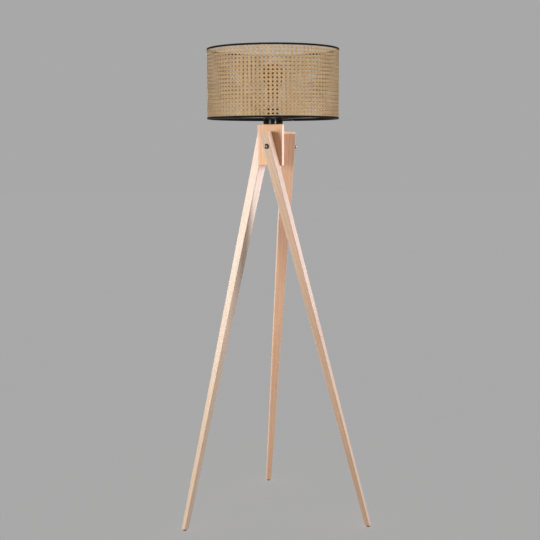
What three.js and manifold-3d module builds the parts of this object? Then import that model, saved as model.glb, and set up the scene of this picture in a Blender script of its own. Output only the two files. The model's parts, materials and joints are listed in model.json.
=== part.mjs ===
// Tripod floor lamp with a drum shade of open cane webbing.
// Millimetres, +Z up. The floor is z = 0 and the origin is the middle of the
// rectangle that the lamp covers on the floor; the lamp's own vertical axis
// stands at (AXIS_X, AXIS_Y).
import * as THREE from 'three';
import { mergeVertices } from 'three/addons/utils/BufferGeometryUtils.js';
import Module from 'manifold-3d';

const wasm = await Module();
wasm.setup();

// ---------------------------------------------------------------- dimensions
const GAP = 0.3; // between pieces that touch
const AXIS_X = -8.6;
const AXIS_Y = -66.3;

// tripod hub: a triangular block with flattened corners
const HUB_TOP = 1272;
const HUB_H = 130;
const HUB_BOT = HUB_TOP - HUB_H;
const HUB_APOTHEM = 28.4; // axis to each broad face
const HUB_CORNER_FLAT = 9.2; // width of each flattened corner
const HUB_EASE = 0.9; // eased top and bottom edges
const HUB_TURN = -110.54; // direction of the front face's normal, degrees
const HUB_BORE_R = 5.3;
const HUB_COUNTERBORE_R = 13.5;
const HUB_COUNTERBORE_H = 12;

// legs: tapered bars, one bolted to each broad face
const LEG_TILT = 15.33; // degrees from upright
const LEG_R0 = -15; // sideways place of the leg's centre line at the hub's top
const LEG_W_TOP = 28.6; // width across the face at the hub's top
const LEG_W_FOOT = 15.5;
const LEG_T_TOP = 42.8; // depth away from the face at the hub's top
const LEG_T_FOOT = 16.7;
const LEG_ABOVE_PIVOT = 45.5;
const LEG_EASE = 1.2;
const LEG_FOOT_CHAMFER = 3.2;
const PIVOT_Z = 1202.5;
const TAN = Math.tan(THREE.MathUtils.degToRad(LEG_TILT));
const COS = Math.cos(THREE.MathUtils.degToRad(LEG_TILT));
const SIN = Math.sin(THREE.MathUtils.degToRad(LEG_TILT));
const legCentre = (z) => LEG_R0 + (HUB_TOP - z) * TAN;
const legWidth = (z) => LEG_W_FOOT + ((LEG_W_TOP - LEG_W_FOOT) * z) / HUB_TOP;
const legDepth = (z) => LEG_T_FOOT + ((LEG_T_TOP - LEG_T_FOOT) * z) / HUB_TOP;
const PIVOT_R = legCentre(PIVOT_Z);
const LEG_IN = HUB_APOTHEM + GAP;
const LEG_OUT_AT_PIVOT = LEG_IN + legDepth(PIVOT_Z);

// leg bolts
const BOLT_R = 4;
const BOLT_HOLE_R = BOLT_R + GAP;
const BOLT_HEAD_R = 7.2;
const BOLT_HEAD_H = 5.2;
const BOLT_SOCKET_AF = 5;
const WASHER_R = 8.4;
const WASHER_T = 1.4;
const INSERT_R = 6;
const INSERT_L = 15;

// foot glides
const GLIDE_R = 5.2;
const GLIDE_H = 3;
const GLIDE_PIN_R = 1.1;
const GLIDE_PIN_L = 11;

// cable tube through the hub
const TUBE_R = 5;
const TUBE_BORE_R = 4;
const TUBE_TOP = 1279;
const TUBE_BOT = 1144.6;

// cover cup and lampholder
const CUP_R = 30.8;
const CUP_TOP = 1288.7;
const CUP_WALL = 2;
const HOLDER_R = 20;
const HOLDER_TOP = 1326.5;
const RING_NUT_R = 27.2;
const RING_NUT_Z = [1290.9, 1300.4];

// bulb
const BULB_TOP = 1467;
const BULB_R = 32;
const BULB_WALL = 0.8;

// shade
const SHADE_R = 210;
const SHADE_TOP = 1509.5;
const SHADE_H = 221;
const SHADE_BOT = SHADE_TOP - SHADE_H;
const TAPE_T = 0.7;
const TAPE_H = 6.2;
const TAPE_HEM = 8.6; // the bottom tape's hem on the inside
const PANEL_R = SHADE_R - TAPE_T - GAP;
const PANEL_T = 1.5;
const WIRE_R = 2;
const WIRE_RING_R = PANEL_R - PANEL_T - GAP - WIRE_R;
const TAPE_IN_R = WIRE_RING_R - WIRE_R - GAP - TAPE_T;
const PLATE_R = 32;
const PLATE_HOLE_R = 20.5;
const PLATE_Z = [1289, 1290.6];
const ARM_ANGLES = [HUB_TURN + 60, HUB_TURN + 180, HUB_TURN + 300];
const SEAM_ANGLE = 118;
const SEGMENTS = 60;

// ------------------------------------------------------------------- colours
const material = (color, roughness, metalness = 0) =>
  new THREE.MeshStandardMaterial({ color, roughness, metalness });
const beech = material(0xdcb48c, 0.55);
const cane = material(0xbf9f75, 0.7);
const blackFabric = material(0x151413, 0.9);
const blackPlastic = material(0x141312, 0.3);
const blackWire = material(0x1a1a1a, 0.45, 0.6);
const bronze = material(0x4a3d34, 0.35, 0.9);
const zinc = material(0xb9bcc0, 0.35, 0.9);
const brass = material(0xc9a24a, 0.3, 0.95);
const ceramic = material(0xe8e4da, 0.4);
const felt = material(0x4b3f36, 0.9);
const amberGlass = new THREE.MeshStandardMaterial({
  color: 0xb8761f,
  roughness: 0.05,
  transparent: true,
  opacity: 0.45,
});
const clearGlass = material(0xdfe6e4, 0.05);
const filamentWire = material(0xd98a2b, 0.4, 0.3);

// ------------------------------------------------------------------- helpers
const V2 = (x, y) => new THREE.Vector2(x, y);
const rad = THREE.MathUtils.degToRad;

function signedVolume(g) {
  const p = g.attributes.position.array;
  const i = g.index.array;
  let v = 0;
  for (let k = 0; k < i.length; k += 3) {
    const [a, b, c] = [i[k] * 3, i[k + 1] * 3, i[k + 2] * 3];
    v +=
      p[a] * (p[b + 1] * p[c + 2] - p[b + 2] * p[c + 1]) -
      p[a + 1] * (p[b] * p[c + 2] - p[b + 2] * p[c]) +
      p[a + 2] * (p[b] * p[c + 1] - p[b + 1] * p[c]);
  }
  return v / 6;
}

// One shared-vertex surface whose faces point out.
function tidy(geometry) {
  let g = geometry.clone();
  for (const name of Object.keys(g.attributes))
    if (name !== 'position') g.deleteAttribute(name);
  g = mergeVertices(g, 1e-4);
  const old = g.index.array;
  const keep = [];
  for (let k = 0; k < old.length; k += 3) {
    const [a, b, c] = [old[k], old[k + 1], old[k + 2]];
    if (a !== b && b !== c && a !== c) keep.push(a, b, c);
  }
  g.setIndex(keep);
  if (signedVolume(g) < 0) {
    for (let k = 0; k < keep.length; k += 3)
      [keep[k + 1], keep[k + 2]] = [keep[k + 2], keep[k + 1]];
    g.setIndex(keep);
  }
  return g;
}

function solid(geometry) {
  const g = tidy(geometry);
  return new wasm.Manifold(
    new wasm.Mesh({
      numProp: 3,
      vertProperties: new Float32Array(g.attributes.position.array),
      triVerts: new Uint32Array(g.index.array),
    }),
  );
}

function surface(body) {
  const m = body.getMesh();
  const g = new THREE.BufferGeometry();
  g.setAttribute('position', new THREE.BufferAttribute(new Float32Array(m.vertProperties), 3));
  g.setIndex(new THREE.BufferAttribute(new Uint32Array(m.triVerts), 1));
  return g;
}

const cut = (from, ...tools) =>
  surface(tools.reduce((body, tool) => body.subtract(solid(tool)), solid(from)));
const join = (...pieces) =>
  surface(pieces.slice(1).reduce((body, p) => body.add(solid(p)), solid(pieces[0])));

// Turned about +Z from [radius, height] pairs. A profile that does not reach
// the axis is closed on itself.
function turned(profile, segments = 32) {
  const points = profile.map(([r, z]) => V2(r, z));
  const first = points[0];
  const last = points[points.length - 1];
  if (!(first.x === 0 && last.x === 0)) points.push(first.clone());
  return tidy(new THREE.LatheGeometry(points, segments).rotateX(Math.PI / 2));
}

// A plain round bar between two heights, or along +X when asked.
const rod = (r, z0, z1, segments = 24) =>
  turned([[0, z0], [r, z0], [r, z1], [0, z1]], segments);
const alongX = (g) => g.rotateY(Math.PI / 2);

function prism(outline, z0, z1, bevel = 0) {
  const shape = new THREE.Shape(outline.map(([x, y]) => V2(x, y)));
  const g = new THREE.ExtrudeGeometry(shape, {
    depth: z1 - z0 - 2 * bevel,
    bevelEnabled: bevel > 0,
    bevelThickness: bevel,
    bevelSize: bevel,
    bevelOffset: -bevel,
    bevelSegments: 1,
    curveSegments: 6,
  });
  return tidy(g.translate(0, 0, z0 + bevel));
}

const hexagon = (acrossFlats) => {
  const r = acrossFlats / Math.sqrt(3);
  return [0, 1, 2, 3, 4, 5].map((k) => [r * Math.cos((k * Math.PI) / 3), r * Math.sin((k * Math.PI) / 3)]);
};

// A round wire swept along a curve.
function wire(points, r, steps, sides = 8, tension = 0.5) {
  const curve =
    points.length === 2
      ? new THREE.LineCurve3(points[0], points[1])
      : new THREE.CatmullRomCurve3(points, false, 'catmullrom', tension);
  const shape = new THREE.Shape();
  for (let k = 0; k <= sides; k++) {
    const a = (k * 2 * Math.PI) / sides;
    if (k === 0) shape.moveTo(r, 0);
    else if (k < sides) shape.lineTo(r * Math.cos(a), r * Math.sin(a));
  }
  return tidy(new THREE.ExtrudeGeometry(shape, { steps, extrudePath: curve, bevelEnabled: false }));
}

const lamp = new THREE.Group();
lamp.position.set(AXIS_X, AXIS_Y, 0);
const add = (group, name, geometry, mat) => {
  const mesh = new THREE.Mesh(geometry, mat);
  mesh.name = name;
  group.add(mesh);
  return mesh;
};

// ----------------------------------------------------------------------- hub
const hubSide = 2 * Math.sqrt(3) * HUB_APOTHEM;
const hubOutline = [];
for (let k = 0; k < 3; k++) {
  const a = rad(120 * k);
  const n = [Math.cos(a), Math.sin(a)];
  const t = [-n[1], n[0]];
  for (const s of [-1, 1]) {
    const along = s * (hubSide / 2 - HUB_CORNER_FLAT);
    hubOutline.push([n[0] * HUB_APOTHEM + t[0] * along, n[1] * HUB_APOTHEM + t[1] * along]);
  }
}
const hubGroup = new THREE.Group();
hubGroup.rotation.z = rad(HUB_TURN);
lamp.add(hubGroup);
const pocket = (angle) =>
  alongX(rod(INSERT_R + GAP, HUB_APOTHEM - INSERT_L - 0.9, HUB_APOTHEM + 5, 24))
    .translate(0, PIVOT_R, PIVOT_Z)
    .rotateZ(rad(angle));
add(
  hubGroup,
  'hub_block',
  cut(
    prism(hubOutline, HUB_BOT, HUB_TOP, HUB_EASE),
    rod(HUB_BORE_R, HUB_BOT - 5, HUB_TOP + 5, 24),
    rod(HUB_COUNTERBORE_R, HUB_BOT - 5, HUB_BOT + HUB_COUNTERBORE_H, 32),
    pocket(0),
    pocket(120),
    pocket(240),
  ),
  beech,
);

// ---------------------------------------------------------------------- legs
// In each leg's group +X is the hub face's outward normal, +Y runs along the
// face towards the foot, and +Z is up.
function legBody() {
  const zf = GLIDE_H + GAP;
  const c = LEG_FOOT_CHAMFER;
  const side = (z, s) => legCentre(z) + (s * legWidth(z)) / 2 / COS;
  const topR = PIVOT_R - LEG_ABOVE_PIVOT * SIN;
  const topZ = PIVOT_Z + LEG_ABOVE_PIVOT * COS;
  const half = legWidth(topZ) / 2;
  const outline = [
    [side(zf + c, -1), zf + c],
    [side(zf, -1) + c * 0.9, zf],
    [side(zf, 1) - c * 0.9, zf],
    [side(zf + c, 1), zf + c],
    [topR + half * COS, topZ + half * SIN],
    [topR - half * COS, topZ - half * SIN],
  ];
  const depth = 10;
  const g = prism(outline, 0, depth, LEG_EASE); // x = along face, y = up, z = out
  const p = g.attributes.position;
  for (let k = 0; k < p.count; k++) {
    const [r, z, n] = [p.getX(k), p.getY(k), p.getZ(k)];
    const inset = z < zf + 1.9 ? LEG_FOOT_CHAMFER - LEG_EASE : 0;
    const out =
      n < depth / 2 ? LEG_IN + n + inset : LEG_IN + legDepth(z) - (depth - n) - inset;
    p.setXYZ(k, out, r, z);
  }
  const through = alongX(rod(BOLT_HOLE_R, LEG_IN - 8, LEG_OUT_AT_PIVOT + 8, 24)).translate(0, PIVOT_R, PIVOT_Z);
  const footOut = LEG_IN + LEG_T_FOOT / 2;
  const pinHole = rod(GLIDE_PIN_R + GAP, -5, GLIDE_H + GLIDE_PIN_L + 1.2, 12).translate(footOut, legCentre(0), 0);
  return cut(g, through, pinHole);
}

function bolt() {
  const tip = HUB_APOTHEM - INSERT_L + 1;
  const seat = LEG_OUT_AT_PIVOT + GAP + WASHER_T + GAP;
  const dome = [];
  for (let k = 0; k <= 5; k++) {
    const a = (k / 5) * (Math.PI / 2);
    dome.push([BOLT_HEAD_R * Math.cos(a), seat + 1 + (BOLT_HEAD_H - 1) * Math.sin(a)]);
  }
  dome[5][0] = 0;
  const body = turned([[0, tip], [BOLT_R - 0.8, tip], [BOLT_R, tip + 1], [BOLT_R, seat], [BOLT_HEAD_R, seat], ...dome], 28);
  const socket = prism(hexagon(BOLT_SOCKET_AF), seat + BOLT_HEAD_H - 3.2, seat + BOLT_HEAD_H + 4);
  return alongX(cut(body, socket)).translate(0, PIVOT_R, PIVOT_Z);
}

const ring = (r0, r1, a, b, segments = 24) => turned([[r0, a], [r1, a], [r1, b], [r0, b]], segments);

for (const [name, turn] of [['right', 0], ['rear', 120], ['left', 240]]) {
  const group = new THREE.Group();
  group.rotation.z = rad(HUB_TURN + turn);
  lamp.add(group);
  add(group, `leg_${name}`, legBody(), beech);
  add(group, `leg_bolt_${name}`, bolt(), bronze);
  add(
    group,
    `bolt_washer_${name}`,
    alongX(ring(BOLT_HOLE_R, WASHER_R, LEG_OUT_AT_PIVOT + GAP + 0.2, LEG_OUT_AT_PIVOT + GAP + WASHER_T)).translate(0, PIVOT_R, PIVOT_Z),
    bronze,
  );
  add(
    group,
    `thread_insert_${name}`,
    alongX(ring(BOLT_HOLE_R, INSERT_R, HUB_APOTHEM - INSERT_L - 0.5, HUB_APOTHEM - 0.4)).translate(0, PIVOT_R, PIVOT_Z),
    zinc,
  );
  const out = LEG_IN + LEG_T_FOOT / 2;
  add(
    group,
    `foot_glide_${name}`,
    turned(
      [
        [0, 0], [GLIDE_R - 0.6, 0], [GLIDE_R, 0.6], [GLIDE_R, GLIDE_H], [GLIDE_PIN_R, GLIDE_H],
        [GLIDE_PIN_R, GLIDE_H + GLIDE_PIN_L - 2], [0, GLIDE_H + GLIDE_PIN_L],
      ],
      20,
    ).translate(out, legCentre(0), 0),
    felt,
  );
}

// ----------------------------------------------------- cable tube and fixings
add(lamp, 'cable_tube', ring(TUBE_BORE_R, TUBE_R, TUBE_BOT, TUBE_TOP, 20), zinc);
const shelf = HUB_BOT + HUB_COUNTERBORE_H;
add(lamp, 'tube_washer', ring(TUBE_R + GAP, 11.5, shelf - GAP - 1.5, shelf - GAP, 24), zinc);
add(
  lamp,
  'tube_nut',
  cut(prism(hexagon(16), shelf - 7.4, shelf - 2.1, 0.4), rod(TUBE_R + GAP, shelf - 12, shelf + 3, 20)),
  zinc,
);
add(
  lamp,
  'cord_bush',
  turned(
    [
      [3.1, HUB_BOT + 0.4], [6.4, HUB_BOT + 0.4], [7, HUB_BOT + 1], [7, TUBE_BOT - GAP],
      [TUBE_BORE_R - GAP, TUBE_BOT - GAP], [TUBE_BORE_R - GAP, TUBE_BOT + 8], [3.1, TUBE_BOT + 8],
    ],
    20,
  ),
  blackPlastic,
);

// ------------------------------------------------------ cup and lampholder
const foot = HUB_TOP + GAP;
add(
  lamp,
  'cover_cup',
  turned(
    [
      [CUP_R - 2.4, foot], [CUP_R - 0.8, foot + 1], [CUP_R, foot + 3], [CUP_R, CUP_TOP - 0.8],
      [CUP_R - 0.8, CUP_TOP], [HOLDER_R + 0.5, CUP_TOP], [HOLDER_R + 0.5, CUP_TOP - 1.8],
      [CUP_R - CUP_WALL, CUP_TOP - 1.8], [CUP_R - CUP_WALL - 0.6, foot],
    ],
    40,
  ),
  blackPlastic,
);
add(
  lamp,
  'lampholder_cap',
  turned(
    [
      [TUBE_R + GAP, foot], [17.6, foot], [19, foot + 1.6], [19, 1284], [16.2, 1284], [16.2, 1291],
      [14.4, 1291], [14.4, foot + 3], [TUBE_R + GAP, foot + 3],
    ],
    32,
  ),
  blackPlastic,
);
add(
  lamp,
  'lampholder_skirt',
  turned(
    [
      [16.5, 1284.3], [HOLDER_R, 1284.3], [HOLDER_R, HOLDER_TOP - 1.2], [HOLDER_R - 1.2, HOLDER_TOP],
      [14.9, HOLDER_TOP], [14.9, HOLDER_TOP - 2.6], [16.5, HOLDER_TOP - 3.6],
    ],
    32,
  ),
  blackPlastic,
);
add(
  lamp,
  'holder_insert',
  turned([[0, 1291.4], [15.9, 1291.4], [15.9, 1297.6], [0, 1297.6]], 24),
  ceramic,
);
add(lamp, 'screw_shell', ring(13.75, 14.5, 1297.9, 1322.4, 28), brass);
add(
  lamp,
  'centre_contact',
  prism([[-3, -9], [3, -9], [3, 5], [-3, 5]], 1297.9, 1299.6, 0.3),
  brass,
);
const nutOutline = [];
for (let k = 0; k < 48; k++) {
  const a = (k * Math.PI) / 24;
  const r = k % 2 ? RING_NUT_R - 0.9 : RING_NUT_R;
  nutOutline.push([r * Math.cos(a), r * Math.sin(a)]);
}
add(
  lamp,
  'shade_ring_nut',
  cut(prism(nutOutline, RING_NUT_Z[0], RING_NUT_Z[1]), rod(HOLDER_R + GAP, RING_NUT_Z[0] - 4, RING_NUT_Z[1] + 4, 32)),
  blackPlastic,
);

// ---------------------------------------------------------------------- bulb
const glassLine = new THREE.CatmullRomCurve3(
  [
    [12, 1322], [12, 1328], [13.6, 1334], [16.6, 1348], [20.8, 1367], [25.4, 1390], [29.4, 1411],
    [31.6, 1427], [BULB_R, 1437], [30.8, 1447], [27.2, 1456], [20.6, 1462.6], [11, 1466.2], [0, BULB_TOP],
  ].map(([r, z]) => new THREE.Vector3(r, z, 0)),
  false,
  'centripetal',
);
const outer = glassLine.getPoints(17).map((p) => [Math.max(p.x, 0), p.y]);
outer[0] = [12, 1322];
outer[outer.length - 1] = [0, BULB_TOP];
const inner = outer.map(([r, z], k) => {
  const a = outer[Math.max(k - 1, 0)];
  const b = outer[Math.min(k + 1, outer.length - 1)];
  const d = Math.hypot(b[0] - a[0], b[1] - a[1]);
  const n = [(b[1] - a[1]) / d, -(b[0] - a[0]) / d];
  return k === outer.length - 1 ? [0, BULB_TOP - BULB_WALL] : [Math.max(r - n[0] * BULB_WALL, 0.5), z - n[1] * BULB_WALL];
});
inner[0] = [12 - BULB_WALL, 1322];
add(lamp, 'bulb_glass', turned([[0, BULB_TOP], ...outer.slice(0, -1).reverse(), ...inner], 24), amberGlass);
add(
  lamp,
  'bulb_cap',
  turned(
    [
      [12.3, 1327.4], [13.3, 1327.4], [13.3, 1303.4], [9.2, 1301.6], [8, 1301.6], [8, 1302.8], [12.3, 1304.8],
    ],
    28,
  ),
  brass,
);
add(lamp, 'bulb_insulator', turned([[0, 1301.2], [7.6, 1301.2], [7.6, 1304.2], [0, 1304.2]], 20), ceramic);
add(lamp, 'bulb_contact', turned([[0, 1299.9], [3.6, 1299.9], [4.6, 1300.9], [0, 1300.9]], 20), brass);
const stemTop = 1441;
add(
  lamp,
  'bulb_stem',
  join(
    turned(
      [
        [0, 1308], [9.6, 1308], [9.6, 1310], [5.4, 1320], [4.2, 1345], [2.2, 1352], [1.5, 1356], [1.5, stemTop - 4],
        [2.4, stemTop - 2], [1.4, stemTop], [0, stemTop],
      ],
      14,
    ),
    ...[0, 1, 2, 3, 4].map((k) => wire([new THREE.Vector3(0, 0, stemTop - 2.2), new THREE.Vector3(11.2 * Math.cos(rad(72 * k)), 11.2 * Math.sin(rad(72 * k)), stemTop - 2.2)], 0.35, 1, 5)),
    ...[0, 1, 2, 3, 4].map((k) => wire([new THREE.Vector3(0, 0, 1349), new THREE.Vector3(8.2 * Math.cos(rad(72 * k + 36)), 8.2 * Math.sin(rad(72 * k + 36)), 1349)], 0.35, 1, 5)),
  ),
  clearGlass,
);
const cage = [];
for (let k = 0; k < 5; k++) {
  for (const [r, z, a] of [[12.4, stemTop - 2.2, 72 * k], [9.4, 1349, 72 * k + 36]])
    cage.push(new THREE.Vector3(r * Math.cos(rad(a)), r * Math.sin(rad(a)), z));
}
add(lamp, 'bulb_filament', wire(cage, 0.35, 45, 5, 0.12), filamentWire);

// --------------------------------------------------------------------- shade
add(
  lamp,
  'shade_panel',
  ring(PANEL_R - PANEL_T, PANEL_R, SHADE_BOT + 1, SHADE_TOP - 1, SEGMENTS),
  cane,
);
const wireCircle = (z) => {
  const pts = [];
  for (let k = 0; k < 8; k++) {
    const a = (k * Math.PI) / 4;
    pts.push([WIRE_RING_R + WIRE_R * Math.cos(a), z + WIRE_R * Math.sin(a)]);
  }
  return turned(pts, SEGMENTS);
};
const ringZ = SHADE_BOT + 1 + WIRE_R;
const arms = ARM_ANGLES.map((a) =>
  alongX(rod(WIRE_R, 29.8, WIRE_RING_R, 8)).translate(0, 0, ringZ).rotateZ(rad(a)),
);
add(lamp, 'shade_top_wire', wireCircle(SHADE_TOP - 1 - WIRE_R), blackWire);
add(
  lamp,
  'shade_spider_frame',
  join(wireCircle(ringZ), ring(PLATE_HOLE_R, PLATE_R, PLATE_Z[0], PLATE_Z[1], 40), ...arms),
  blackWire,
);
const tape = (edge, up, hem) => {
  const z = (d) => edge + up * d;
  return turned(
    [
      [SHADE_R, z(0)], [SHADE_R, z(TAPE_H)], [SHADE_R - TAPE_T, z(TAPE_H)], [SHADE_R - TAPE_T, z(TAPE_T)],
      [TAPE_IN_R + TAPE_T, z(TAPE_T)], [TAPE_IN_R + TAPE_T, z(hem)], [TAPE_IN_R, z(hem)], [TAPE_IN_R, z(0)],
    ],
    SEGMENTS,
  );
};
add(lamp, 'trim_tape_top', tape(SHADE_TOP, -1, TAPE_H), blackFabric);
const slits = ARM_ANGLES.map((a) =>
  alongX(rod(WIRE_R + 0.5, TAPE_IN_R - 4, TAPE_IN_R + TAPE_T + 0.9, 8)).translate(0, 0, ringZ).rotateZ(rad(a)),
);
const slitBoxes = ARM_ANGLES.map((a) =>
  tidy(new THREE.BoxGeometry(TAPE_T + 4, 2 * WIRE_R + 1, TAPE_HEM))
    .translate(TAPE_IN_R + TAPE_T / 2, 0, ringZ + TAPE_HEM / 2)
    .rotateZ(rad(a)),
);
add(lamp, 'trim_tape_bottom', cut(tape(SHADE_BOT, 1, TAPE_HEM), ...slits, ...slitBoxes), blackFabric);

const seam = new THREE.Shape();
const seamOut = PANEL_R - PANEL_T - GAP;
const seamHalf = 0.035;
seam.absarc(0, 0, seamOut, rad(SEAM_ANGLE) - seamHalf, rad(SEAM_ANGLE) + seamHalf, false);
seam.absarc(0, 0, seamOut - 1, rad(SEAM_ANGLE) + seamHalf, rad(SEAM_ANGLE) - seamHalf, true);
add(
  lamp,
  'seam_strip',
  tidy(
    new THREE.ExtrudeGeometry(seam, { depth: SHADE_H - 2 * TAPE_H - 6, bevelEnabled: false, curveSegments: 3 }).translate(
      0,
      0,
      SHADE_BOT + TAPE_H + 3,
    ),
  ),
  cane,
);

export default lamp;
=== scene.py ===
import json
import math

import bmesh
import bpy
import numpy as np
from mathutils import Matrix, Vector

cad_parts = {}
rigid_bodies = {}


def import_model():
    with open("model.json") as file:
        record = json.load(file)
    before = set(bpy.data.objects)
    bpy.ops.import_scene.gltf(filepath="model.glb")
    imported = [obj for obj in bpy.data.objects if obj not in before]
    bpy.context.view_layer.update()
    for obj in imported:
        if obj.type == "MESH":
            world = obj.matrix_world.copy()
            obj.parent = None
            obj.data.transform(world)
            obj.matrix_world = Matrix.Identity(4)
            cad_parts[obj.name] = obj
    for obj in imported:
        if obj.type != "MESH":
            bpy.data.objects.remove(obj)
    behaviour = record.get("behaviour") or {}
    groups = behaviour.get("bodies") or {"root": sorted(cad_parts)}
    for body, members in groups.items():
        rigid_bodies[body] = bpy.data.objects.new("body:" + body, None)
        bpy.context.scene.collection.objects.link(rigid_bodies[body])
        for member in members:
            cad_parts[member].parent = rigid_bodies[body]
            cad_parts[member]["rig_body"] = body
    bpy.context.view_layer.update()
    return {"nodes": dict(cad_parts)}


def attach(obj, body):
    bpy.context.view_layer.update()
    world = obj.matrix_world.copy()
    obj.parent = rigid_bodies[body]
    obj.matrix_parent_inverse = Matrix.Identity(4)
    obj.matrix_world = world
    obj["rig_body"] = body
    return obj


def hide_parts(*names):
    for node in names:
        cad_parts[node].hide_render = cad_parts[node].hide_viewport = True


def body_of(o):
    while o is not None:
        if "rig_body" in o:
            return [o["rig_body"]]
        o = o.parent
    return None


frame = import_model()
NODES = frame["nodes"]
MM = 0.001

# ------------------------------------------------------- the part's own sizes
AXIS = Vector((-8.6, -66.3, 0)) * MM
HUB_TOP, HUB_H = 1272.0, 130.0
HUB_APOTHEM, HUB_CORNER_FLAT, HUB_TURN = 28.4, 9.2, -110.54
LEG_TILT = math.radians(15.33)
LEG_R0, LEG_W_TOP, LEG_W_FOOT, LEG_T_TOP, LEG_T_FOOT = -15.0, 28.6, 15.5, 42.8, 16.7
PIVOT_Z, LEG_ABOVE = 1202.5, 45.5
LEG_IN = HUB_APOTHEM + 0.3
SHADE_TOP, SHADE_BOT, SHADE_R = 1509.5, 1288.5, 210.0
TAPE_H, TAPE_HEM_IN = 5.8, {"top": 5.4, "bottom": 8.4}
SEAM = math.radians(118.0)
PIVOT_R = LEG_R0 + (HUB_TOP - PIVOT_Z) * math.tan(LEG_TILT)


def leg_width(z):
    return LEG_W_FOOT + (LEG_W_TOP - LEG_W_FOOT) * z / HUB_TOP


def leg_depth(z):
    return LEG_T_FOOT + (LEG_T_TOP - LEG_T_FOOT) * z / HUB_TOP


LEG_OUT = LEG_IN + leg_depth(PIVOT_Z)

# ------------------------------------------------------------------ the camera
cam_data = bpy.data.cameras.new("camera")
cam_data.lens = 71.39
cam_data.sensor_width = 36.0
cam_data.clip_end = 100
cam = bpy.data.objects.new("camera", cam_data)
bpy.context.scene.collection.objects.link(cam)
cam.matrix_world = (
    Matrix.Translation(AXIS + Vector((-0.0108, -3.4487, 1.1868)))
    @ Matrix.Rotation(math.radians(90 - 6.318), 4, "X")
    @ Matrix.Rotation(math.radians(-0.1417), 4, "Z")
)
bpy.context.scene.camera = cam


# --------------------------------------------------------------- mesh helpers
def mesh_object(name, verts, faces, sharp=35.0):
    me = bpy.data.meshes.new(name)
    me.from_pydata([tuple(v) for v in verts], [], faces)
    me.update()
    bm = bmesh.new()
    bm.from_mesh(me)
    bmesh.ops.recalc_face_normals(bm, faces=bm.faces)
    bm.to_mesh(me)
    bm.free()
    if sharp:
        me.shade_smooth()
        me.set_sharp_from_angle(angle=math.radians(sharp))
    ob = bpy.data.objects.new(name, me)
    bpy.context.scene.collection.objects.link(ob)
    return ob


def join_parts(parts):
    """One list of vertices and faces from several."""
    verts, faces = [], []
    for v, f in parts:
        base = len(verts)
        verts += [Vector(p) for p in v]
        faces += [[i + base for i in face] for face in f]
    return verts, faces


def moved(part, matrix):
    return [matrix @ Vector(v) for v in part[0]], part[1]


def fillet(points, radius, steps=3, closed=True):
    """The same outline with its corners rounded. A radius per corner may be given."""
    n = len(points)
    radii = radius if isinstance(radius, (list, tuple)) else [radius] * n
    out = []
    for i, p in enumerate(points):
        r = radii[i]
        if r <= 0 or (not closed and i in (0, n - 1)):
            out.append(tuple(p))
            continue
        p = Vector(p)
        a, b = Vector(points[i - 1]) - p, Vector(points[(i + 1) % n]) - p
        la, lb = a.length, b.length
        a.normalize()
        b.normalize()
        half = a.angle(b) / 2
        cut = min(r / max(math.tan(half), 1e-6), 0.48 * la, 0.48 * lb)
        start, end = p + a * cut, p + b * cut
        for k in range(steps + 1):
            t = k / steps
            out.append(tuple((1 - t) ** 2 * start + 2 * t * (1 - t) * p + t**2 * end))
    return out


def lathe(profile, segs=64, closed=True):
    """Turned about +Z from (radius, height) pairs in millimetres."""
    verts, faces, rings = [], [], []
    for r, z in profile:
        if r <= 1e-6:
            rings.append([len(verts)])
            verts.append(Vector((0, 0, z)) * MM)
        else:
            rings.append(list(range(len(verts), len(verts) + segs)))
            for k in range(segs):
                a = 2 * math.pi * k / segs
                verts.append(Vector((r * math.cos(a), r * math.sin(a), z)) * MM)
    pairs = list(zip(rings, rings[1:]))
    if closed:
        pairs.append((rings[-1], rings[0]))
    for a, b in pairs:
        if len(a) == 1 and len(b) == 1:
            continue
        for k in range(segs):
            m = (k + 1) % segs
            if len(a) == 1:
                faces.append([a[0], b[k], b[m]])
            elif len(b) == 1:
                faces.append([a[k], b[0], a[m]])
            else:
                faces.append([a[k], b[k], b[m], a[m]])
    return verts, faces


def prism(outline, z0, z1, ease=0.0, steps=2):
    """An upright prism in millimetres with its top and bottom edges eased inwards."""
    pts = [Vector((x, y)) for x, y in outline]
    n = len(pts)

    def inset(d):
        res = []
        for i in range(n):
            a, p, b = pts[i - 1], pts[i], pts[(i + 1) % n]
            e1, e2 = (p - a).normalized(), (b - p).normalized()
            n1, n2 = Vector((-e1.y, e1.x)), Vector((-e2.y, e2.x))
            m = (n1 + n2).normalized()
            res.append(p + m * d / max(m.dot(n1), 0.2))
        return res

    levels = []
    if ease:
        for k in range(steps + 1):
            a = math.pi / 2 * k / steps
            levels.append((ease * (1 - math.sin(a)), z0 + ease * (1 - math.cos(a))))
        for k in range(steps, -1, -1):
            a = math.pi / 2 * k / steps
            levels.append((ease * (1 - math.sin(a)), z1 - ease * (1 - math.cos(a))))
    else:
        levels = [(0, z0), (0, z1)]
    verts, faces = [], []
    for d, z in levels:
        verts += [Vector((q.x, q.y, z)) * MM for q in (inset(d) if d > 1e-9 else pts)]
    for j in range(len(levels) - 1):
        for i in range(n):
            m = (i + 1) % n
            faces.append([j * n + i, j * n + m, (j + 1) * n + m, (j + 1) * n + i])
    faces.append(list(range(n))[::-1])
    top = (len(levels) - 1) * n
    faces.append(list(range(top, top + n)))
    return verts, faces


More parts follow.
